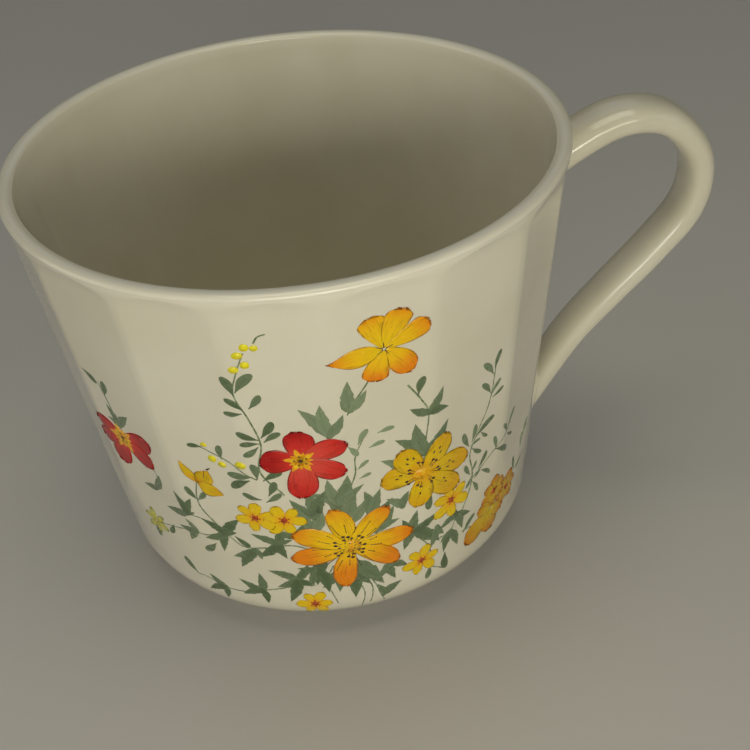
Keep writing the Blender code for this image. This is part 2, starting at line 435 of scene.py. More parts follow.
def make_body():
    """The shell: up the inside from the floor's middle, over the lip and down to the base's middle."""
    angle = cut_angles()
    rows = []
    crest = RIM - LIP_OUTSIDE
    shoulder = TOP - LIP_DROP
    wall_low = BASE + CORNER
    inner_low = FLOOR + INNER_CORNER
    inner_base = BASE_RADIUS - WALL_AT_FLOOR

    def inner_radius(height):
        share = (height - inner_low) / (shoulder - inner_low)
        plain = inner_base + (RIM - LIP - inner_base) * share
        low = np.clip((height - INNER_FADE_START) / INNER_FADE_HEIGHT, 0, 1)
        high = np.clip((TOP - INNER_FADE_TOP - height) / INNER_FADE_TOP_HEIGHT, 0, 1)
        return plain - INNER_PANEL * (low * high) * (1 - (panel_share(angle) / HALF_PANEL) ** 2)

    rows.append((FLOOR_HUB, FLOOR))
    for share in np.linspace(0.12, 1, 9):
        rows.append(((inner_base - INNER_CORNER) * share, FLOOR + FLOOR_DISH * share ** 2))
    for turn in np.linspace(0, 1, 16)[1:]:
        a = turn * pi / 2
        rows.append((inner_base - INNER_CORNER + INNER_CORNER * sin(a),
                     FLOOR + FLOOR_DISH * (1 - turn) + INNER_CORNER * (1 - cos(a))))
    for height in np.linspace(inner_low, shoulder, 46)[1:]:
        rows.append((inner_radius(height), height))
    power = 2 / LIP_SQUARENESS
    for turn in np.linspace(0, pi / 2, 12)[1:]:
        inside = crest - (LIP - LIP_OUTSIDE) * cos(turn) ** power
        rows.append((inside, shoulder + LIP_DROP * sin(turn) ** power))
    for turn in np.linspace(pi / 2, 0, 12)[1:]:
        outside = crest + LIP_OUTSIDE * max(cos(turn), 0) ** power
        rows.append((outside, shoulder + LIP_DROP * sin(turn) ** power))
    for height in np.linspace(shoulder, ARCH_START, 30)[1:]:
        rows.append((outer_radius(angle, height), height))
    for height in np.linspace(ARCH_START, wall_low, 60)[1:]:
        rows.append((outer_radius(angle, height), height))
    for turn in np.linspace(0, 1, 16)[1:]:
        a = turn * pi / 2
        rows.append((BASE_RADIUS - CORNER + CORNER * cos(a), BASE + CORNER * (1 - sin(a))))
    for share in np.linspace(0.9, 0.02, 12):
        rows.append(((BASE_RADIUS - CORNER) * share, BASE + BASE_DISH * (1 - share) ** 2))
    body = turned("cup_shell", rows)
    return finish_piece(body, "glaze", "white_glaze", "cup_body")


FOOT_WIDTH = 3.0 * MM
FOOT_SUNK = 0.4 * MM
FOOT_FILLET = 1.0 * MM
FOOT_EDGE = 0.7 * MM
BARE_BELOW = 0.45 * MM


def make_foot():
    """The foot ring, with a small fillet against the base, glazed sides and a bare land."""
    inner = FOOT_OUTER - FOOT_WIDTH
    sunk = BASE + FOOT_SUNK
    fillet = FOOT_FILLET
    edge = FOOT_EDGE
    rows = [(FOOT_OUTER + fillet, sunk)]
    for turn in np.linspace(0, pi / 2, 8):
        rows.append((FOOT_OUTER + fillet * (1 - sin(turn)), BASE - fillet * (1 - cos(turn))))
    for turn in np.linspace(0, pi / 2, 7):
        rows.append((FOOT_OUTER - edge * (1 - cos(turn)), edge * (1 - sin(turn))))
    for turn in np.linspace(pi / 2, 0, 7):
        rows.append((inner + edge * (1 - cos(turn)), edge * (1 - sin(turn))))
    for turn in np.linspace(pi / 2, 0, 8):
        rows.append((inner - fillet * (1 - sin(turn)), BASE - fillet * (1 - cos(turn))))
    rows.append((inner - fillet, sunk))
    ring = turned("foot_ring_finish", rows, closed=True)
    ring.data.materials.append(MATERIALS["glaze"])
    ring.data.materials.append(MATERIALS["bare"])
    for face in ring.data.polygons:
        face.material_index = 1 if face.center.z < BARE_BELOW else 0
    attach(ring, "root")
    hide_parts("foot_ring")


# ---------------------------------------------------------------- handle

# Centre line as (distance from the cup's axis, height) in mm, and the strap's size at each point.
# part.py has the same. All but the two ends are the rounded result of a fit to the photo's
# outline, made by another program; the height of the second was then moved by 0.2 mm.
HANDLE_PATH = [
    (36.0, 58.5), (42.2, 62.6), (51.4, 66.7), (59.6, 65.5), (65.0, 58.6),
    (64.4, 50.0), (58.6, 42.4), (51.7, 35.3), (45.1, 28.2), (39.5, 20.1), (36.0, 14.6),
]
HANDLE_SCALE = [1.04, 1.0, 0.98, 0.96, 0.94, 0.92, 0.90, 0.88, 0.86, 0.85, 0.85]
STRAP_WIDTH = 9.0 * MM
STRAP_THICKNESS = 5.2 * MM
STRAP_ROUNDNESS = 2.5
SECTION = 48
PER_SPAN = 14
ROOT_DEPTH = 1.2 * MM
ROOT_MARGIN = 0.2 * MM


def smooth_path(points, per_span):
    """A Catmull-Rom curve through every point."""
    p = np.array([2 * np.array(points[0]) - points[1], *points, 2 * np.array(points[-1]) - points[-2]], float)
    out = []
    for i in range(1, len(p) - 2):
        for t in np.arange(per_span) / per_span:
            out.append(0.5 * (2 * p[i] + (p[i + 1] - p[i - 1]) * t
                              + (2 * p[i - 1] - 5 * p[i] + 4 * p[i + 1] - p[i + 2]) * t * t
                              + (3 * p[i] - p[i - 1] - 3 * p[i + 1] + p[i + 2]) * t ** 3))
    out.append(p[-2])
    return np.array(out)


def strap_rings():
    """Rings of points along the strap, each a squared oval."""
    path = smooth_path([(x * MM, z * MM) for x, z in HANDLE_PATH], PER_SPAN)
    scale = smooth_path([(s, 0.0) for s in HANDLE_SCALE], PER_SPAN)[:, 0]
    along = np.gradient(path, axis=0)
    along /= np.linalg.norm(along, axis=1, keepdims=True)
    turn = np.arange(SECTION) * 2 * pi / SECTION
    power = 2 / STRAP_ROUNDNESS
    thick = np.sign(np.cos(turn)) * np.abs(np.cos(turn)) ** power
    wide = np.sign(np.sin(turn)) * np.abs(np.sin(turn)) ** power
    rings = []
    for place, tangent, size in zip(path, along, scale):
        out = np.array([-tangent[1], tangent[0]])
        half_thick = STRAP_THICKNESS / 2 * size
        half_wide = STRAP_WIDTH / 2 * size
        x = AXIS.x + place[0] + out[0] * thick * half_thick
        z = place[1] + out[1] * thick * half_thick
        rings.append(np.stack([x, wide * half_wide, z], -1))
    return np.array(rings)


def wall_distance(points):
    """How far points are outside the wall, measured level."""
    x, y = points[..., 0] - AXIS.x, points[..., 1]
    return np.hypot(x, y) - outer_radius(np.arctan2(y, x), points[..., 2])


def capped(name, rings):
    """A closed skin over rings of points, with a fan at each end."""
    count, size = rings.shape[:2]
    points = [*rings.reshape(-1, 3), rings[0].mean(0), rings[-1].mean(0)]
    faces = grid_faces(count, size, wrap=True)
    first, last = count * size, count * size + 1
    for j in range(size):
        k = (j + 1) % size
        faces.append((first, k, j))
        faces.append((last, (count - 1) * size + j, (count - 1) * size + k))
    return mesh_object(name, points, faces)


def outward(obj):
    """Turns the faces of a closed piece outwards."""
    work = bmesh.new()
    work.from_mesh(obj.data)
    bmesh.ops.recalc_face_normals(work, faces=work.faces)
    work.to_mesh(obj.data)
    work.free()


def make_handle():
    """The strap, cut where it enters the wall and kept within the wall's thickness there."""
    rings = strap_rings()
    depth = wall_distance(rings)
    kept = [i for i in range(len(rings)) if depth[i].max() > -ROOT_MARGIN]
    first, last = max(kept[0] - 1, 0), min(kept[-1] + 1, len(rings) - 1)
    part = rings[first:last + 1].copy()
    sunk = wall_distance(part) < -ROOT_DEPTH
    for ring, deep in zip(part, sunk):
        for j in np.nonzero(deep)[0]:
            x, y, z = ring[j]
            a = atan2(y, x - AXIS.x)
            r = float(outer_radius(np.array(a), np.array(z))) - ROOT_DEPTH
            ring[j] = (AXIS.x + r * cos(a), r * sin(a), z)
    handle = capped("handle_strap", part)
    outward(handle)
    return finish_piece(handle, "glaze", "white_glaze", "handle")


SLIP_RADIUS = 1.7 * MM
SLIP_STEPS = 9
SLIP_SUNK = 0.9 * MM
SLIP_INSET = 0.12


def make_slip_joint(name, node_name, upper):
    """The rounded fillet of slip where the strap meets the wall."""
    rings = strap_rings()
    if not upper:
        rings = rings[::-1]
    rings = rings[:len(rings) // 2]
    depth = wall_distance(rings)
    levels = []
    for step in range(SLIP_STEPS + 1):
        turn = pi / 2 * step / SLIP_STEPS
        levels.append((SLIP_RADIUS * (1 - sin(turn)), SLIP_RADIUS * (1 - cos(turn))))
    loops = []
    for j in range(SECTION):
        column = []
        for out, spread in levels:
            i = next(k for k in range(len(rings) - 1) if depth[k + 1, j] >= out)
            share = (out - depth[i, j]) / (depth[i + 1, j] - depth[i, j])
            column.append((rings[i, j] * (1 - share) + rings[i + 1, j] * share, spread))
        loops.append(column)
    middle = np.mean([column[-1][0] for column in loops], axis=0)
    out_rings = []
    for step in range(SLIP_STEPS + 1):
        ring = []
        for j in range(SECTION):
            point, spread = loops[j][step]
            away = point - middle
            away[0] = 0.0
            away /= np.linalg.norm(away)
            ring.append(point + away * spread)
        out_rings.append(ring)
    last = np.array(out_rings[-1])
    a = np.arctan2(last[:, 1], last[:, 0] - AXIS.x)
    out_rings[-1] = wall_point(a, last[:, 2], np.zeros(SECTION))
    sunk = wall_point(a, last[:, 2], np.full(SECTION, -SLIP_SUNK))
    start = np.array(out_rings[0])
    inside = start + (start.mean(0) - start) * SLIP_INSET
    joint = capped(name, np.array([inside, *out_rings, sunk]))
    outward(joint)
    return finish_piece(joint, "glaze", "white_glaze", node_name)


# ---------------------------------------------------------------- printed spray

ENAMEL_THICKNESS = 0.13 * MM
TIP_WELD = 0.001 * MM


class Print:
    """Collects the flat shapes of one colour and lays them on the wall as one thin piece."""

    def __init__(self, name, lift):
        self.name = name
        self.lift = lift
        self.points, self.faces, self.count = [], [], 0
        self.along, self.across, self.tint = [], [], []

    def add(self, flat, rows, columns, along, across, tint=0.0, lift=0.0, faces=None):
        """flat holds (x, z) in metres: x round the wall from the front, z the height.

        along and across run over the shape for its material, and tint shifts its tone.
        """
        angle = flat[:, 0] / ART_RADIUS - pi / 2
        points = wall_point(angle, flat[:, 1], np.full(len(flat), self.lift + lift))
        self.points.append(points)
        made = [face[::-1] for face in grid_faces(rows, columns)] if faces is None else faces
        self.faces += [tuple(self.count + i for i in face) for face in made]
        self.count += len(flat)
        self.along.append(along)
        self.across.append(across)
        self.tint.append(np.full(len(flat), tint))

    def finish(self, material_key):
        values = {"along": self.along, "across": self.across, "tint": self.tint}
        values = {key: np.concatenate(parts) for key, parts in values.items()}
        obj = mesh_object(self.name, np.concatenate(self.points), self.faces, values)
        tips = obj.modifiers.new("Tips", "WELD")
        tips.merge_threshold = TIP_WELD
        skin = obj.modifiers.new("Enamel", "SOLIDIFY")
        skin.thickness = ENAMEL_THICKNESS
        skin.offset = -1.0
        return finish_piece(obj, material_key, "overglaze_enamel", "floral_transfer")


def art(place):
    """(degrees round the cup, height in mm) as a flat point in metres, the front at x = 0."""
    return np.array([radians(place[0] + 90) * ART_RADIUS, place[1] * MM])


def outline(shape, u):
    """Half the width of a petal or leaf at each share u of its length, 1 at the widest."""
    if shape == "broad":
        widest = 0.60
        foot = 0.34 + 0.66 * np.sin(pi / 2 * np.clip(u / widest, 0, 1))
        head = np.sqrt(np.clip(1 - np.clip((u - widest) / (1 - widest), 0, 1) ** 2.6, 0, 1))
        return foot * head
    if shape == "fan":
        widest = 0.78
        foot = 0.20 + 0.80 * np.sin(pi / 2 * np.clip(u / widest, 0, 1)) ** 1.1
        head = np.clip(1 - np.clip((u - widest) / (1 - widest), 0, 1) ** 3.4, 0, 1) ** 0.6
        return foot * head
    if shape == "pointed":
        return np.maximum(np.sin(pi * u ** 0.9) ** 0.8 * (1 - 0.35 * u ** 3), 0.28 * (1 - u))
    if shape == "spoon":
        widest = 0.62
        foot = 0.10 + 0.90 * np.sin(pi / 2 * np.clip(u / widest, 0, 1)) ** 1.7
        head = np.sqrt(np.clip(1 - np.clip((u - widest) / (1 - widest), 0, 1) ** 2.2, 0, 1))
        return foot * head
    saw = 1 - 0.22 * ((u * 4.0) % 1.0) * np.sin(pi * u)
    return np.maximum(np.sin(pi * u ** 0.78) ** 1.1, 0.30 * (1 - u)) * saw


def blade(sheet, base, tip, width, shape, bend=0.0, tint=0.0, lift=0.0, ragged=0.0):
    """One petal or leaf from base to tip. width is its share of the length."""
    way = tip - base
    length = hypot(*way)
    side = np.array([-way[1], way[0]]) / length
    rows = max(10, int(length / BLADE_STEP))
    columns = 9 if length > 2.5 * MM else 7
    u = 1 - (1 - np.linspace(0, 1, rows)) ** 1.3
    half = outline(shape, u * (RAGGED_END if ragged else 1.0)) * width * length / 2
    v = np.linspace(-1, 1, columns)
    uu, vv = np.meshgrid(u, v, indexing="ij")
    curve = bend * length * np.sin(pi * uu)
    reach = uu * (1 + ragged * np.cos(3 * pi * vv + 9 * bend) * uu ** 5)
    flat = base + reach[..., None] * way + (vv * half[:, None] + curve)[..., None] * side
    sheet.add(flat.reshape(-1, 2), rows, columns, uu.ravel(), vv.ravel(), tint, lift)


def stroke(sheet, points, width, taper=0.5):
    """A thin drawn line through the points."""
    path = smooth_path(points, 10) if len(points) > 2 else np.linspace(points[0], points[1], 10)
    along = np.gradient(path, axis=0)
    along /= np.linalg.norm(along, axis=1, keepdims=True)
    side = np.stack([-along[:, 1], along[:, 0]], -1)
    u = np.linspace(0, 1, len(path))
    half = width / 2 * (1 - taper * u)
    v = np.array([-1.0, 0.0, 1.0])
    flat = path[:, None] + v[None, :, None] * half[:, None, None] * side[:, None]
    sheet.add(flat.reshape(-1, 2), len(path), 3, np.repeat(u, 3), np.tile(v, len(path)))


def dot(sheet, centre, radius, tint=0.0, stretch=1.0):
    """A filled round spot."""
    sides = 12
    turn = np.arange(sides) * 2 * pi / sides
    rim = centre + radius * np.stack([np.cos(turn) * stretch, np.sin(turn)], -1)
    flat = np.concatenate([[centre], rim])
    faces = [(0, 1 + j, 1 + (j + 1) % sides) for j in range(sides)]
    ones = np.ones(sides)
    reach = np.concatenate([[0], ones])
    sheet.add(flat, 0, 0, reach, reach, tint, faces=faces)


def around(centre, angle, distance):
    turn = radians(angle)
    return centre + distance * MM * np.array([cos(turn), sin(turn)])


def flower(name, material_key, place, petals, shape, lift):
    """Petals are (direction in degrees, length in mm, width share, tint), with their own shape last."""
    sheet = Print(name, lift)
    centre = art(place)
    for number, (angle, length, width, tint, *own) in enumerate(petals):
        base = around(centre, angle, 0.3)
        tip = around(centre, angle, length)
        bend = 0.03 if number % 2 else -0.03
        blade(sheet, base, tip, width, own[0] if own else shape, bend, tint, number * 0.004 * MM, 0.035)
    return sheet.finish(material_key), centre


# Petals of each large flower, as flower() takes them
BIG_PETALS = [
    (103, 8.8, 0.47, -0.10), (46, 9.2, 0.43, 0.0), (0, 10.2, 0.38, 0.10), (-37, 9.6, 0.41, 0.26),
    (-99, 9.5, 0.43, 0.36), (192, 9.4, 0.43, 0.28), (157, 9.2, 0.46, 0.0),
]
TOP_PETALS = [
    (108, 6.0, 0.64, -0.15, "fan"), (66, 6.5, 0.58, -0.10, "fan"), (26, 6.5, 0.52, 0.0, "fan"),
    (-54, 6.2, 0.62, 0.2), (-106, 5.4, 0.72, 0.1, "fan"), (183, 7.2, 0.50, 0.0, "pointed"),
]
YELLOW_PETALS = [
    (174, 6.6, 0.72, 0.1), (122, 6.8, 0.64, 0.0), (57, 7.4, 0.58, 0.1),
    (-8, 8.4, 0.56, 0.2), (-45, 9.2, 0.48, 0.2), (-97, 6.9, 0.60, 0.1),
]
RED_PETALS = [
    (90, 5.8, 0.78, 0.1), (25, 7.0, 0.56, -0.25), (-28, 6.6, 0.64, -0.25), (-95, 7.8, 0.60, -0.2),
    (180, 5.6, 0.88, 0.3),
]
LEFT_RED_PETALS = [
    (14, 6.6, 0.62, 0.3), (-36, 6.4, 0.66, 0.25), (-112, 6.8, 0.60, 0.3), (-165, 6.0, 0.54, 0.35),
    (155, 5.6, 0.52, 0.35),
]
RIGHT_ORANGE_PETALS = [
    (213, 7.4, 0.62, 0.0), (-92, 5.0, 0.90, 0.05), (-30, 4.2, 0.80, 0.05), (80, 4.4, 0.80, -0.1),
    (150, 4.0, 0.80, -0.1),
]

# Small flowers: (degrees, height in mm), reach in mm, first petal's direction, petal width by length
SMALL_FLOWERS = [
    ((-111.0, 29.5), 3.4, 20, 0.64), ((-104.6, 28.9), 3.4, 50, 0.64), ((-101.0, 8.8), 3.2, 0, 0.64),
    ((-64.5, 24.4), 3.9, 35, 0.60), ((-72.9, 13.7), 3.5, 10, 0.62), ((-49.0, 19.2), 3.3, 25, 0.82),
    ((-42.6, 16.8), 3.3, 5, 0.82), ((-142.6, 20.6), 2.8, 40, 0.5),
]

# In degrees round the cup: fainter flowers to the left, slimmer leaves to the right, and flowers printed in a
# darker enamel copy to the right as painted shade
FAINT_BEYOND = -130
SLIM_BEYOND = -62
SHADED_SIDE_BEYOND = -52

# Buds: degrees, height in mm, radius in mm
BUDS = [
    (-105.2, 63.0, 0.62), (-103.5, 62.8, 0.5), (-106.7, 61.7, 0.6), (-105.7, 60.0, 0.62), (-107.9, 59.3, 0.6),
    (-118.7, 43.9, 0.42), (-117.6, 41.2, 0.7), (-115.6, 40.3, 0.6), (-111.3, 40.8, 0.72),
]

# Lobed leaves: the point their lobes spring from, the lobes' tips, and how faded the print is
LOBED_LEAVES = [
    ((-142.8, 41.2), [(-144.8, 45.2), (-138.3, 44.5), (-146.0, 42.2)], 0.2),
    ((-137.4, 29.9), [(-141.9, 29.4), (-134.6, 33.7)], 0.2),
    ((-128.9, 27.3), [(-135.8, 26.4), (-131.0, 31.7), (-126.5, 31.1), (-126.6, 27.9)], 0.0),
    ((-120.0, 24.2), [(-115.4, 28.3), (-121.4, 20.1), (-125.8, 22.4), (-125.4, 26.8), (-116.8, 25.0)], 0.0),
    ((-128.0, 23.3), [(-130.2, 25.7), (-133.0, 23.3), (-130.6, 20.6)], 0.2),
    ((-112.8, 21.8), [(-119.3, 19.4), (-117.8, 17.0), (-111.8, 19.6)], 0.1),
    ((-107.0, 23.6), [(-113.2, 25.5), (-112.6, 20.2), (-106.4, 27.2), (-103.6, 24.4), (-105.6, 20.2)], 0.0),
    ((-113.9, 11.6), [(-119.8, 13.7), (-113.8, 16.1), (-113.2, 8.3), (-119.8, 9.8)], 0.0),
    ((-124.7, 10.4), [(-128.7, 12.7), (-130.3, 8.4), (-125.2, 7.3)], 0.0),
    ((-104.3, 15.0), [(-111.2, 17.0), (-107.2, 9.2), (-101.0, 18.8), (-109.8, 12.9), (-100.0, 13.4)], 0.0),
    ((-91.5, 18.5), [(-98.6, 12.6), (-94.4, 11.2), (-90.6, 9.2), (-86.6, 12.0), (-83.0, 11.2)], 0.05),
    ((-90.4, 27.4), [(-94.8, 33.6), (-88.0, 33.8), (-84.8, 32.2)], 0.35),
    ((-98.0, 26.0), [(-101.4, 31.6), (-96.4, 31.8)], 0.45),
    ((-75.0, 21.4), [(-73.8, 25.8), (-68.1, 23.5), (-67.6, 16.4), (-77.6, 17.8), (-77.6, 24.6)], 0.05),
    ((-71.8, 37.4), [(-78.7, 41.9), (-74.1, 44.0), (-66.1, 42.3)], 0.15),
    ((-71.0, 45.4), [(-75.3, 47.1), (-67.7, 49.3), (-66.1, 44.8)], 0.1),
    ((-92.2, 46.0), [(-97.6, 51.4), (-93.3, 52.0), (-89.0, 49.8)], 0.45),
    ((-87.4, 50.2), [(-87.6, 55.6), (-84.0, 53.1), (-89.4, 52.4)], 0.45),
    ((-92.0, 31.6), [(-98.0, 34.4), (-93.8, 37.2), (-89.4, 37.8), (-86.0, 35.0)], 0.35),
    ((-62.8, 20.5), [(-67.8, 19.0), (-63.6, 22.4), (-57.9, 19.0), (-60.6, 16.2)], 0.05),
    ((-64.4, 17.2), [(-66.4, 13.0), (-61.9, 12.8), (-67.4, 15.6)], 0.1),
    ((-83.4, 8.6), [(-78.4, 10.7), (-84.8, 11.4)], 0.2),
    ((-97.0, 20.0), [(-101.4, 16.4), (-99.6, 13.4)], 0.0),
    ((-97.6, 29.0), [(-102.6, 33.4), (-98.8, 35.4), (-94.6, 34.8)], 0.15),
    ((-84.6, 27.2), [(-86.2, 33.4), (-82.4, 33.0), (-79.6, 30.2)], 0.2),
    ((-98.6, 17.4), [(-103.8, 17.8), (-101.2, 13.0), (-97.0, 11.4)], 0.0),
    ((-81.6, 16.0), [(-80.0, 11.6), (-84.8, 12.6)], 0.1),
    ((-102.8, 25.0), [(-100.4, 27.8), (-107.0, 26.8)], 0.1),
    ((-77.4, 27.6), [(-81.2, 30.2), (-75.8, 30.6)], 0.3),
    ((-68.6, 20.0), [(-66.4, 17.6), (-70.4, 15.6)], 0.15),
    ((-84.0, 24.0), [(-79.4, 28.4), (-78.2, 25.2)], 0.3),
    ((-76.0, 35.2), [(-82.0, 38.6)], 0.35),
    ((-81.2, 15.8), [(-76.6, 13.8)], 0.2),
]

# Small oval leaves, base then tip, each in (degrees, height in mm)
OVAL_LEAVES = [
    ((-109.0, 54.6), (-110.6, 58.1)), ((-108.6, 55.2), (-104.9, 58.4)),
    ((-108.0, 51.9), (-111.1, 54.0)), ((-108.2, 51.3), (-112.0, 51.2)), ((-106.8, 52.1), (-104.2, 54.5)),
    ((-106.2, 46.0), (-110.4, 47.6)), ((-106.2, 45.3), (-110.3, 45.1)), ((-106.6, 44.7), (-110.0, 42.8)),
    ((-105.7, 46.4), (-102.9, 49.4)), ((-105.3, 45.5), (-101.7, 47.2)),
    ((-108.3, 38.1), (-108.8, 41.3)), ((-107.2, 37.7), (-102.9, 39.3)), ((-106.8, 34.4), (-104.9, 37.4)),
    ((-109.2, 38.6), (-115.0, 38.5)), ((-110.0, 37.8), (-114.8, 35.6)), ((-108.4, 33.7), (-112.6, 34.7)),
    ((-107.6, 33.1), (-104.0, 34.8)), ((-148.5, 50.9), (-145.0, 49.0)), ((-143.9, 47.0), (-142.5, 50.2)),
    ((-115.4, 41.4), (-115.2, 44.3)), ((-119.2, 43.3), (-122.8, 43.2)), ((-124.6, 31.1), (-126.8, 33.8)),
    ((-124.6, 31.1), (-122.2, 33.2)), ((-135.6, 22.2), (-137.8, 19.7)), ((-143.2, 19.6), (-143.4, 16.6)),
    ((-123.2, 21.6), (-127.0, 19.1)), ((-117.6, 24.2), (-114.0, 22.4)), ((-132.8, 11.4), (-135.9, 14.6)),
    ((-53.1, 45.4), (-56.4, 48.6)), ((-52.8, 46.3), (-51.4, 49.5)), ((-53.5, 41.9), (-56.4, 44.8)),
    ((-53.2, 41.5), (-50.6, 43.7)), ((-52.8, 40.8), (-49.4, 41.7)), ((-59.2, 33.5), (-61.3, 37.0)),
    ((-58.4, 34.1), (-57.5, 37.4)), ((-57.4, 34.6), (-51.6, 36.8)), ((-55.6, 35.0), (-53.3, 33.2)),
    ((-58.7, 33.4), (-55.6, 33.7)), ((-58.2, 32.7), (-55.0, 30.6)), ((-58.2, 27.0), (-60.2, 29.8)),
    ((-58.0, 27.4), (-56.4, 29.3)), ((-57.8, 26.6), (-59.6, 24.6)), ((-57.0, 25.6), (-55.0, 26.9)),
    ((-57.4, 25.2), (-55.6, 22.5)), ((-55.7, 27.2), (-53.0, 30.0)), ((-54.7, 26.5), (-51.4, 24.6)),
    ((-49.8, 28.9), (-50.8, 31.9)), ((-50.0, 28.9), (-44.6, 26.4)), ((-45.4, 30.4), (-47.6, 33.0)),
    ((-45.0, 31.0), (-41.8, 33.8)), ((-44.9, 29.8), (-41.8, 28.2)), ((-38.6, 18.6), (-39.4, 21.8)),
    ((-37.8, 18.2), (-33.6, 19.0)),
    ((-60.0, 14.8), (-56.4, 17.8)), ((-70.2, 28.4), (-71.0, 25.0)), ((-70.4, 11.4), (-71.4, 8.4)),
    ((-65.8, 12.8), (-65.6, 8.8)), ((-73.4, 49.4), (-72.2, 52.6)),
]
# The same, printed fainter
FAINT_LEAVES = [
    ((-86.6, 43.2), (-84.4, 45.8)), ((-84.4, 42.0), (-80.8, 42.5)), ((-82.4, 44.4), (-78.6, 44.7)),
    ((-87.2, 38.2), (-84.6, 39.6)), ((-87.0, 36.3), (-84.2, 36.8)), ((-88.8, 43.4), (-86.8, 41.0)),
    ((-35.0, 21.6), (-34.0, 24.4)), ((-33.6, 23.4), (-31.4, 26.2)),
]

# Stems, as points of (degrees, height in mm)
STEMS = [
    [(-103.4, 34.4), (-107.4, 39.6), (-106.0, 45), (-107.2, 50), (-109, 54.8), (-107.6, 58.6), (-105.6, 62)],
    [(-103.4, 63.6), (-102.5, 64.6), (-101.0, 65.0)],
    [(-108.4, 38), (-111.0, 39.2), (-114.0, 41.2), (-117.2, 42.4), (-120, 43.4)],
    [(-97, 21), (-104, 23.2), (-110, 22.6), (-116, 22.2), (-120, 24.2), (-125, 23.2), (-130, 23.0),
     (-136, 21.8), (-141, 20.8)],
    [(-120, 24.2), (-124.4, 26.6), (-129, 27.3)],
    [(-120.4, 25), (-124.2, 29), (-124.6, 32), (-123.4, 35.4)],
    [(-99, 15.4), (-106, 13.2), (-113.9, 11.6), (-119.6, 10.4), (-124.7, 10.4), (-129.6, 11.4), (-133, 11.4)],
    [(-137.4, 29.9), (-135.4, 33), (-137.4, 36.4)],
    [(-142.8, 41.4), (-143.6, 46), (-144.4, 49.6)],
    [(-82.2, 56.0), (-84.6, 53.4), (-87.2, 51.0), (-88.2, 49.4)],
    [(-75.6, 51.8), (-72.8, 48.4), (-71.2, 45.4), (-71.8, 40), (-72.4, 34)],
    [(-61.6, 19.6), (-58.4, 23.8), (-57.6, 27.4), (-58.8, 31.6), (-57, 35.2), (-54, 39.4),
     (-53, 43), (-52.6, 46.8)],
    [(-57.8, 26), (-54.4, 27.2), (-50, 29), (-45.4, 30.6), (-42, 33.4)],
    [(-92, 18), (-89.4, 13), (-88.2, 10), (-89.2, 6.6)],
    [(-89, 17), (-86.4, 12), (-86.2, 9.4), (-87, 7.2)],
    [(-87.2, 15), (-84.6, 10.4), (-83.2, 6.8)],
    [(-95, 18), (-97.2, 14.4), (-96.2, 11), (-95.2, 8.4)],
    [(-74, 20), (-70.6, 16), (-70.2, 11.6), (-67.6, 9.8), (-65.6, 8.8)],
    [(-68.2, 17), (-64.4, 17.4), (-62.8, 20.5)],
    [(-60.6, 15.4), (-57.4, 15.0), (-54.6, 13.2)],
    [(-90.5, 33), (-87.8, 37.4), (-87.4, 41), (-84.8, 45)],
]

# How far apart a blade's rows are, and where a ragged petal's outline stops short of a point
BLADE_STEP = 0.28 * MM
RAGGED_END = 0.995

# How far each layer of the print stands off the glaze
LEAF_LIFT = 0.030 * MM
STEM_LIFT = 0.022 * MM
FLOWER_LIFT = 0.055 * MM
DETAIL_LIFT = 0.085 * MM


def make_leaves():
    leaves = Print("leaves_print", LEAF_LIFT)
    number = 0
    for base, tips, tint in LOBED_LEAVES:
        root = art(base)
        for tip in tips:
            end = art(tip)
            reach = hypot(*(end - root))
            start = root - (end - root) / reach * 0.5 * MM
            width = 0.35 if reach > 4 * MM else 0.42
            shade = min(1.0, tint + 0.10 * (number % 3))
            bend = 0.05 if number % 2 else -0.05
            blade(leaves, start, end, width, "lance", bend, shade, (number % 7) * 0.002 * MM)
            number += 1
    for base, tip in OVAL_LEAVES:
        width, shade = (0.37, 0.0) if base[0] < SLIM_BEYOND else (0.27, 0.2)
        blade(leaves, art(base), art(tip), width, "spoon", 0.05 if number % 2 else -0.05,
              shade + 0.12 * (number % 3), (number % 7) * 0.002 * MM)
        number += 1
    for base, tip in FAINT_LEAVES:
        blade(leaves, art(base), art(tip), 0.34, "spoon", 0.04, 0.85, (number % 7) * 0.002 * MM)
        number += 1
    leaves.finish("leaf")
    stems = Print("stems_print", STEM_LIFT)
    for points in STEMS:
        stroke(stems, [art(p) for p in points], 0.27 * MM, taper=0.35)
    stems.finish("stem")


def stamens(sheet, centre, count, inner, outer, first=0.0, spot=0.30, line=0.11):
    """Fine dark filaments, each ending in a spot."""
    for i in range(count):
        angle = first + 360 * i / count + (7 if i % 2 else -5)
        reach = outer * (1.0 if i % 3 else 0.88)
        stroke(sheet, [around(centre, angle, inner), around(centre, angle, reach)], line * MM, taper=0.0)
        dot(sheet, around(centre, angle, reach), spot * MM, stretch=1.25)


def make_big_flower(ink, pollen):
    _, centre = flower("big_orange_flower", "orange", (-90.6, 22.0), BIG_PETALS, "broad", FLOWER_LIFT)
    dot(pollen, centre, 1.35 * MM, stretch=1.35)
    stamens(ink, centre, 13, 1.5, 2.6, 4, 0.25)
    stamens(ink, centre, 7, 1.3, 1.9, 20, 0.2)
    for i in range(9):
        dot(ink, around(centre, 40 * i + 9, 0.8 + 0.35 * (i % 2)), 0.12 * MM)
    for i in range(17):
        angle = 360 * i / 17 + 11
        reach = 4.3 + 0.7 * (i % 3)
        stroke(ink, [around(centre, angle, 3.2), around(centre, angle, reach)], 0.13 * MM)
        dot(ink, around(centre, angle, reach), 0.12 * MM)


def make_top_flower(ink):
    _, centre = flower("top_orange_flower", "orange", (-80.1, 59.4), TOP_PETALS, "broad", FLOWER_LIFT)
    for angle in (20, 95, 150, 215, 300):
        stroke(ink, [around(centre, angle, 0.2), around(centre, angle, 1.2)], 0.16 * MM)


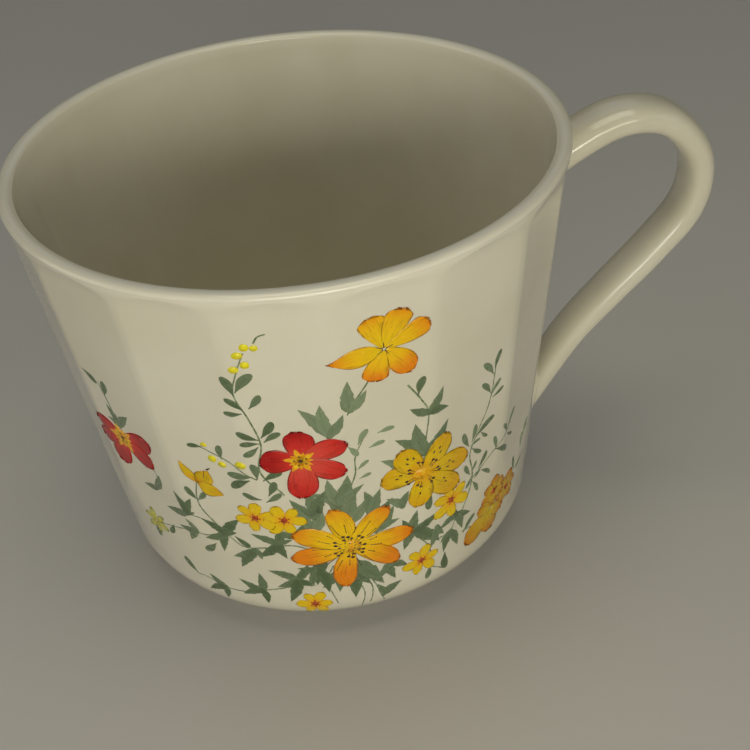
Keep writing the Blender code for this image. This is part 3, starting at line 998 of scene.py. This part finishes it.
def make_yellow_flower(ink, pollen):
    _, centre = flower("yellow_flower", "yellow", (-72.3, 33.4), YELLOW_PETALS, "broad", FLOWER_LIFT)
    dot(pollen, centre, 1.2 * MM, stretch=1.4)
    stamens(ink, centre, 14, 1.6, 2.7, 9, 0.22)
    for angle, distance in ((174, 3.9), (165, 3.4), (122, 4.4), (112, 3.8), (130, 3.6), (57, 4.6), (48, 3.9),
                            (66, 3.8), (-8, 5.2), (0, 4.4), (-14, 4.1), (-45, 5.4), (-40, 4.5), (-97, 3.9)):
        place = around(centre, angle, distance)
        stroke(ink, [place, around(place, angle, 0.5)], 0.28 * MM, taper=0.3)


def make_red_flower(name, place, petals, pollen, ink, reach):
    _, centre = flower(name, "red", place, petals, "broad", FLOWER_LIFT)
    for i in range(11):
        angle = 360 * i / 11 + 6
        length = reach * (1.0 if i % 2 else 0.72)
        blade(pollen, around(centre, angle, 0.1), around(centre, angle, length), 0.42, "pointed")
    dot(ink, centre, 0.34 * MM)
    for i in range(5):
        dot(ink, around(centre, 72 * i + 30, 0.9), 0.15 * MM)


def make_small_flowers(hearts):
    for number, (place, reach, first, width) in enumerate(SMALL_FLOWERS):
        petals = [(first + 60 * i, reach * (1.0 if i % 2 else 0.9), width, 0.1 * (i % 2)) for i in range(6)]
        # Flowers round the right side take the darker enamel copy under the key "side": painted shade
        key = "faint" if place[0] < FAINT_BEYOND else "side" if place[0] > SHADED_SIDE_BEYOND else "small"
        _, centre = flower(f"small_yellow_flower_{number + 1}", key, place, petals, "broad", FLOWER_LIFT)
        if key == "faint":
            continue
        dot(hearts, centre, 0.55 * MM)
        for i in range(6):
            dot(hearts, around(centre, first + 60 * i + 30, 0.75), 0.16 * MM)


def make_side_flower(ink):
    """The yellow flower seen from the side, half open."""
    sheet = Print("side_yellow_flower", FLOWER_LIFT)
    foot = art((-122.9, 35.2))
    blade(sheet, foot, art((-126.2, 39.5)), 0.36, "pointed", 0.06, 0.0)
    blade(sheet, foot, art((-119.7, 38.2)), 0.86, "pointed", -0.04, 0.05, 0.004 * MM)
    blade(sheet, foot, art((-121.0, 37.6)), 0.90, "broad", -0.04, 0.05, 0.004 * MM)
    blade(sheet, foot, art((-117.4, 33.4)), 0.72, "pointed", -0.10, 0.25, 0.008 * MM)
    sheet.finish("yellow")
    stroke(ink, [art((-119.9, 38.5)), art((-119.0, 38.9))], 0.3 * MM)
    stroke(ink, [art((-120.6, 38.2)), art((-121.2, 36.6))], 0.1 * MM)


def make_buds():
    sheet = Print("yellow_buds", FLOWER_LIFT)
    for number, (angle, height, radius) in enumerate(BUDS):
        turn = number % 3
        dot(sheet, art((angle, height)), radius * MM, tint=0.1 * turn, stretch=0.95 + 0.1 * turn)
    sheet.finish("bud")


def make_spray():
    make_leaves()
    ink = Print("ink_lines", DETAIL_LIFT)
    hearts = Print("flower_hearts", DETAIL_LIFT)
    pollen = Print("pollen_print", DETAIL_LIFT - 0.01 * MM)
    make_big_flower(ink, pollen)
    make_top_flower(ink)
    make_yellow_flower(ink, pollen)
    make_red_flower("red_flower", (-98.6, 41.4), RED_PETALS, pollen, ink, 2.5)
    make_red_flower("left_red_flower", (-143.4, 38.6), LEFT_RED_PETALS, pollen, ink, 2.8)
    # The right orange flower takes the darker enamel copy under the key "side": painted shade
    flower("right_orange_flower", "side", (-49.6, 15.4), RIGHT_ORANGE_PETALS, "broad", FLOWER_LIFT)
    make_small_flowers(hearts)
    make_side_flower(ink)
    make_buds()
    ink.finish("ink")
    hearts.finish("heart")
    pollen.finish("pollen")


# ---------------------------------------------------------------- stage

STAGE_HALF = 1.6
STAGE_LOW = -0.05 * MM


def make_stage():
    mesh = bpy.data.meshes.new("floor")
    size, low = STAGE_HALF, STAGE_LOW
    corners = [(-size, -size, low), (size, -size, low), (size, size, low), (-size, size, low)]
    mesh.from_pydata(corners, [], [(0, 1, 2, 3)])
    floor = bpy.data.objects.new("floor", mesh)
    bpy.context.scene.collection.objects.link(floor)
    made, tree, shader = new_material("pale_floor")
    cloudy = ranged(tree, noise(tree, 4, 3), 0.3, 0.7)
    tone = mixed(tree, cloudy, colour(196, 193, 190), colour(190, 187, 184))
    put(tree, shader.inputs["Base Color"], tone)
    shader.inputs["Roughness"].default_value = 0.6
    mesh.materials.append(made)


def area_light(name, place, target, size, power, tint):
    data = bpy.data.lights.new(name, "AREA")
    data.shape = "RECTANGLE"
    data.size, data.size_y = size
    data.energy = power
    data.color = tint
    obj = bpy.data.objects.new(name, data)
    obj.location = place
    obj.rotation_euler = (Vector(target) - Vector(place)).to_track_quat("-Z", "Y").to_euler()
    bpy.context.scene.collection.objects.link(obj)


def make_lights():
    world = bpy.data.worlds.new("soft_room")
    bpy.context.scene.world = world
    world.use_nodes = True
    background = world.node_tree.nodes["Background"]
    background.inputs["Color"].default_value = (1.0, 0.97, 0.90, 1.0)
    background.inputs["Strength"].default_value = 0.05
    aim = (AXIS.x, 0.0, 0.03)
    area_light("front_low", (-0.04, -0.28, 0.10), aim, (0.16, 0.08), 0.24, (1.0, 0.97, 0.86))
    area_light("front_low_right", (0.06, -0.30, 0.12), aim, (0.16, 0.08), 0.15, (1.0, 0.92, 0.68))
    area_light("front_left", (-0.65, -0.55, 0.35), aim, (0.5, 0.5), 0.35, (0.80, 1.0, 0.97))
    area_light("front_right", (0.65, -0.55, 0.35), aim, (0.5, 0.5), 0.40, (0.80, 0.95, 1.0))
    area_light("left", (-0.85, 0.05, 0.35), aim, (0.5, 0.5), 0.82, (1.0, 0.94, 0.88))
    area_light("back_high", (0.0, 0.7, 0.7), aim, (0.8, 0.5), 0.40, (0.65, 0.75, 1.0))
    area_light("top", (0.0, 0.0, 1.0), aim, (0.6, 0.6), 2.2, (1.0, 0.96, 0.77))


# The photo's viewpoint, rounded from a fit of camera and cup to its outlines; angles in degrees
CAMERA_AZIMUTH = -93.1
CAMERA_OUT = 164.6 * MM
CAMERA_HEIGHT = 150.8 * MM
CAMERA_YAW = 6.6
CAMERA_PITCH = 37.3
CAMERA_ROLL = -5.55
CAMERA_LENS = 57.6


def make_camera():
    data = bpy.data.cameras.new("camera")
    data.sensor_width = 36.0
    data.lens = CAMERA_LENS
    data.clip_start = 0.01
    camera = bpy.data.objects.new("camera", data)
    turn = radians(CAMERA_AZIMUTH)
    eye = AXIS + Vector((cos(turn), sin(turn), 0)) * CAMERA_OUT + Vector((0, 0, CAMERA_HEIGHT))
    place = Matrix.Translation(eye)
    look = Matrix.Rotation(radians(-CAMERA_YAW), 4, "Z") @ Matrix.Rotation(radians(90 - CAMERA_PITCH), 4, "X")
    camera.matrix_world = place @ look @ Matrix.Rotation(radians(CAMERA_ROLL), 4, "Z")
    bpy.context.scene.collection.objects.link(camera)
    bpy.context.scene.camera = camera


def write_sizes():
    bpy.context.view_layer.update()


make_materials()
make_body()
make_foot()
make_handle()
make_slip_joint("upper_slip_fillet", "upper_slip_joint", True)
make_slip_joint("lower_slip_fillet", "lower_slip_joint", False)
make_spray()
make_stage()
make_lights()
make_camera()
bpy.context.scene.view_settings.view_transform = "Standard"
write_sizes()
